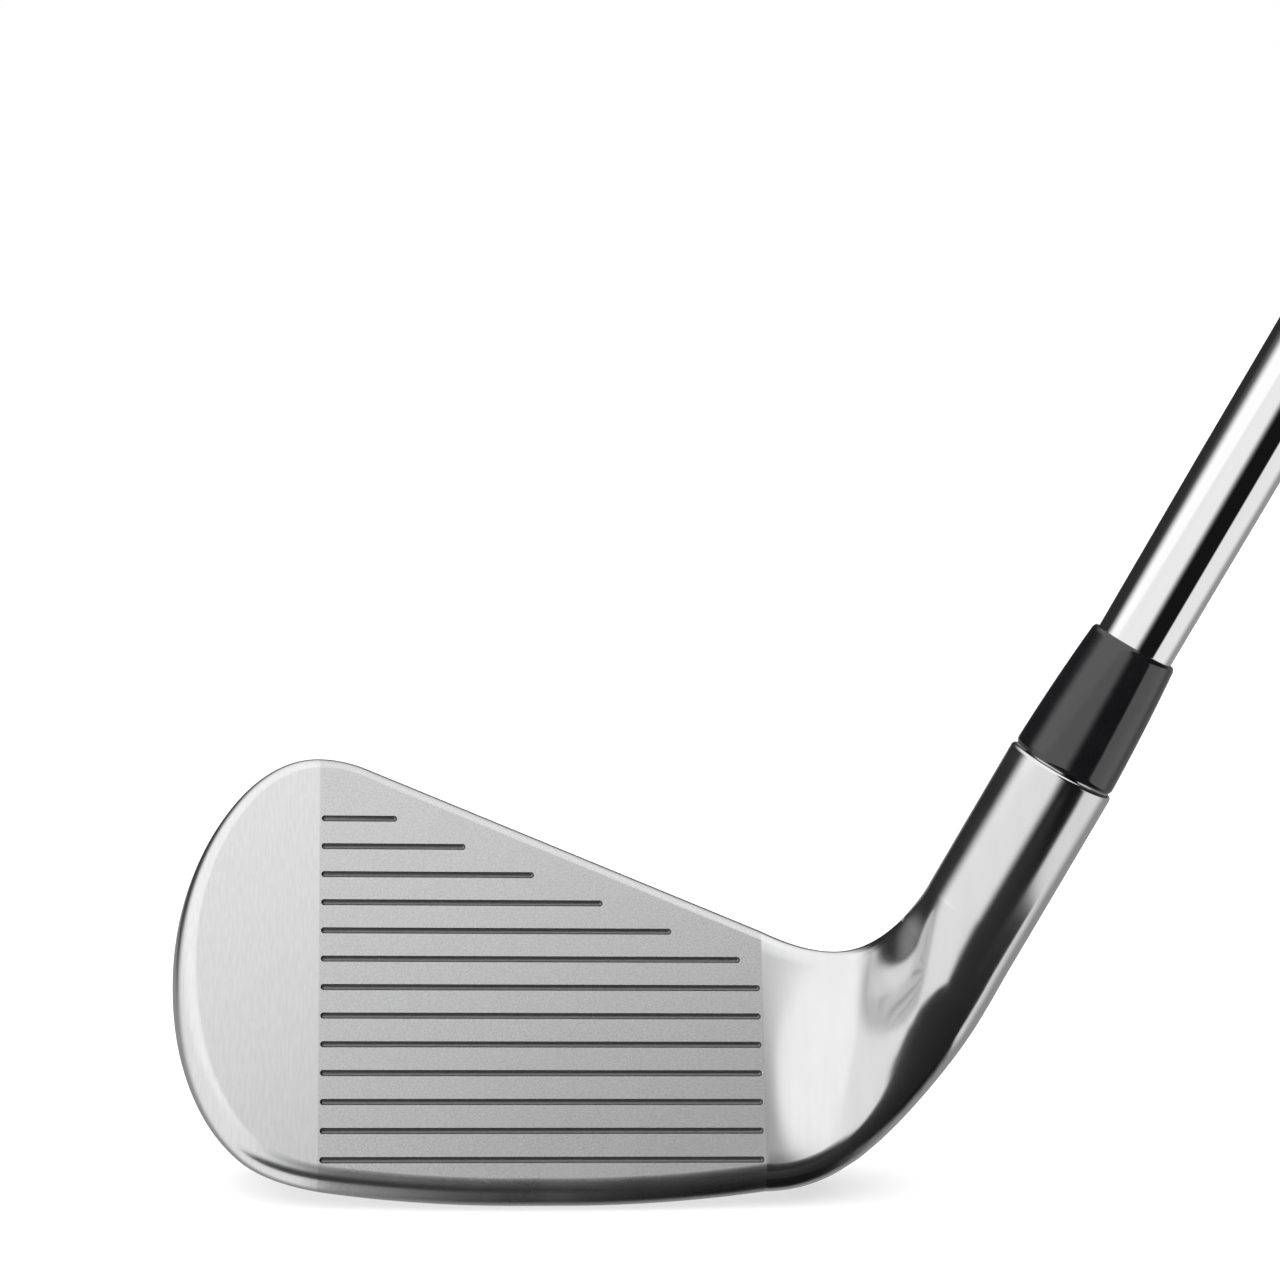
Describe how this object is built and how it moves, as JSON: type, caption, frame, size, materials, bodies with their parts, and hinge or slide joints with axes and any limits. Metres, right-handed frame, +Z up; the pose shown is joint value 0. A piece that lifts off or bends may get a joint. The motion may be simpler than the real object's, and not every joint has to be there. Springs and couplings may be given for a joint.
{
  "type": "golf iron",
  "caption": "Golf iron with a forged cavity-back head, score lines on the face, a black ferrule, a stepped polished steel shaft and a tapered rubber grip.",
  "frame": {"origin": "centre of the flat that the sole rests on, on the ground", "axes": "+X along the score lines towards the heel and the shaft, +Y away from the way the face looks, towards the back of the head, +Z up, with the club at address"},
  "size_m": [0.5386, 0.0406, 0.8575],
  "materials": {
    "head_steel": "satin steel, blasted across the score lines, brushed at the toe, polished at the hosel",
    "weight_metal": "sintered heavy metal, dull",
    "plate_metal": "brushed nickel plate",
    "pad_foam": "double-sided foam",
    "badge_metal": "brushed, dark anodised",
    "ferrule_plastic": "turned and polished",
    "shaft_chrome": "chrome plated and polished",
    "tip_brass": "turned",
    "band_foil": "printed film, no lettering",
    "tape_paper": "crepe paper tape",
    "grip_rubber": "moulded, matte, with a fine cut pattern",
    "cap_rubber": "moulded, matte"
  },
  "bodies": {
    "root": {"head_body": "head_steel", "toe_weight": "weight_metal", "heel_weight": "weight_metal", "muscle_plate": "plate_metal", "badge_pad": "pad_foam", "cavity_badge": "badge_metal", "ferrule": "ferrule_plastic", "shaft": "shaft_chrome", "tip_weight": "tip_brass", "shaft_band": "band_foil", "grip_tape": "tape_paper", "grip": "grip_rubber", "grip_cap": "cap_rubber"}
  },
  "joints": []
}
